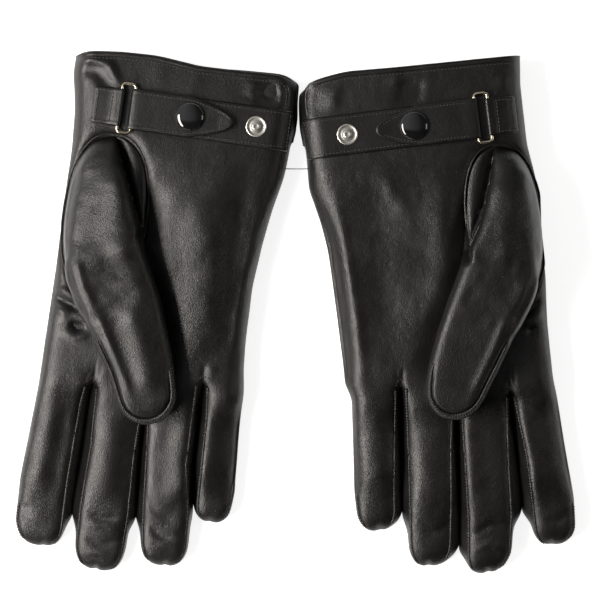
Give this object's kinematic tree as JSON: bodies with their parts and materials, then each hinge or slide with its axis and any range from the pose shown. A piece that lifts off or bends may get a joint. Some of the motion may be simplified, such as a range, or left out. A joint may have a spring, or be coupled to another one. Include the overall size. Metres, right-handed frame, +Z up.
{
  "type": "leather gloves",
  "caption": "Pair of lined leather dress gloves lying palm up, each with a snap wrist strap on a metal loop, hinged finger ends and a thumb that lifts.",
  "frame": {"origin": "centre of the pair's outline, on the surface that the backs of the gloves lie on", "axes": "+X across the pair from the right glove to the left one, +Y from the fingertips to the cuffs, +Z up out of the palms"},
  "size_m": [0.269, 0.251, 0.0332],
  "materials": {
    "glove_leather": "soft sheen, fine grain",
    "strap_leather": "soft sheen, fine grain",
    "lining_cloth": "brushed knit",
    "nickel": "polished nickel",
    "cap_enamel": "gloss black",
    "thread": "twisted thread"
  },
  "bodies": {
    "gloves": {"right_trank": "glove_leather", "right_fourchette_index_middle": "glove_leather", "right_fourchette_middle_ring": "glove_leather", "right_fourchette_ring_little": "glove_leather", "right_thumb_base": "glove_leather", "right_lining": "lining_cloth", "right_cuff_facing": "glove_leather", "right_strap_base": "strap_leather", "right_keeper_tab": "strap_leather", "right_snap_stud": "nickel", "right_spare_stud": "nickel", "right_stud_backs": "nickel", "left_trank": "glove_leather", "left_fourchette_index_middle": "glove_leather", "left_fourchette_middle_ring": "glove_leather", "left_fourchette_ring_little": "glove_leather", "left_thumb_base": "glove_leather", "left_lining": "lining_cloth", "left_cuff_facing": "glove_leather", "left_strap_base": "strap_leather", "left_keeper_tab": "strap_leather", "left_snap_stud": "nickel", "left_spare_stud": "nickel", "left_stud_backs": "nickel", "pair_thread": "thread"},
    "right_index_tip": {"right_index_end": "glove_leather", "right_index_end_lining": "lining_cloth"},
    "right_middle_tip": {"right_middle_end": "glove_leather", "right_middle_end_lining": "lining_cloth"},
    "right_ring_tip": {"right_ring_end": "glove_leather", "right_ring_end_lining": "lining_cloth"},
    "right_little_tip": {"right_little_end": "glove_leather", "right_little_end_lining": "lining_cloth"},
    "right_thumb_tip": {"right_thumb_end": "glove_leather", "right_thumb_end_lining": "lining_cloth"},
    "right_loop": {"right_strap_loop": "nickel"},
    "right_tail": {"right_strap_tail": "strap_leather", "right_snap_cap": "cap_enamel", "right_snap_socket": "nickel"},
    "left_index_tip": {"left_index_end": "glove_leather", "left_index_end_lining": "lining_cloth"},
    "left_middle_tip": {"left_middle_end": "glove_leather", "left_middle_end_lining": "lining_cloth"},
    "left_ring_tip": {"left_ring_end": "glove_leather", "left_ring_end_lining": "lining_cloth"},
    "left_little_tip": {"left_little_end": "glove_leather", "left_little_end_lining": "lining_cloth"},
    "left_thumb_tip": {"left_thumb_end": "glove_leather", "left_thumb_end_lining": "lining_cloth"},
    "left_loop": {"left_strap_loop": "nickel"},
    "left_tail": {"left_strap_tail": "strap_leather", "left_snap_cap": "cap_enamel", "left_snap_socket": "nickel"}
  },
  "joints": [
    {"name": "right_index_bend", "type": "hinge", "parent": "gloves", "child": "right_index_tip", "pos_m": [-0.12008, -0.07121, 0.014], "axis": [-0.9833, 0.1822, 0], "range_deg": [0, 75]},
    {"name": "right_middle_bend", "type": "hinge", "parent": "gloves", "child": "right_middle_tip", "pos_m": [-0.09101, -0.07955, 0.014], "axis": [-0.9903, 0.1392, 0], "range_deg": [0, 75]},
    {"name": "right_ring_bend", "type": "hinge", "parent": "gloves", "child": "right_ring_tip", "pos_m": [-0.06351, -0.08, 0.014], "axis": [-0.9994, 0.0349, 0], "range_deg": [0, 75]},
    {"name": "right_little_bend", "type": "hinge", "parent": "gloves", "child": "right_little_tip", "pos_m": [-0.03846, -0.07216, 0.014], "axis": [-0.9954, 0.0958, 0], "range_deg": [0, 75]},
    {"name": "right_thumb_bend", "type": "hinge", "parent": "gloves", "child": "right_thumb_tip", "pos_m": [-0.08924, 0.01563, 0.03317], "axis": [-0.9613, -0.2756, 0], "range_deg": [0, 70]},
    {"name": "right_loop_swing", "type": "hinge", "parent": "gloves", "child": "right_loop", "pos_m": [-0.08516, 0.09787, 0.02178], "axis": [-0.1392, -0.9903, 0], "range_deg": [0, 60]},
    {"name": "right_strap_open", "type": "hinge", "parent": "right_loop", "child": "right_tail", "pos_m": [-0.07882, 0.09698, 0.02178], "axis": [-0.1392, -0.9903, 0], "range_deg": [0, 120]},
    {"name": "left_index_bend", "type": "hinge", "parent": "gloves", "child": "left_index_tip", "pos_m": [0.11851, -0.07449, 0.014], "axis": [-0.989, -0.1478, 0], "range_deg": [0, 75]},
    {"name": "left_middle_bend", "type": "hinge", "parent": "gloves", "child": "left_middle_tip", "pos_m": [0.09126, -0.08186, 0.014], "axis": [-0.9994, -0.0349, 0], "range_deg": [0, 75]},
    {"name": "left_ring_bend", "type": "hinge", "parent": "gloves", "child": "left_ring_tip", "pos_m": [0.06415, -0.08193, 0.014], "axis": [-1, -0.0087, 0], "range_deg": [0, 75]},
    {"name": "left_little_bend", "type": "hinge", "parent": "gloves", "child": "left_little_tip", "pos_m": [0.03815, -0.07374, 0.014], "axis": [-0.9994, -0.0349, 0], "range_deg": [0, 75]},
    {"name": "left_thumb_bend", "type": "hinge", "parent": "gloves", "child": "left_thumb_tip", "pos_m": [0.08779, 0.01021, 0.03317], "axis": [-0.9563, 0.2924, 0], "range_deg": [0, 70]},
    {"name": "left_loop_swing", "type": "hinge", "parent": "gloves", "child": "left_loop", "pos_m": [0.09159, 0.09329, 0.02178], "axis": [-0.1219, 0.9925, 0], "range_deg": [0, 60]},
    {"name": "left_strap_open", "type": "hinge", "parent": "left_loop", "child": "left_tail", "pos_m": [0.08524, 0.09252, 0.02178], "axis": [-0.1219, 0.9925, 0], "range_deg": [0, 120]}
  ]
}
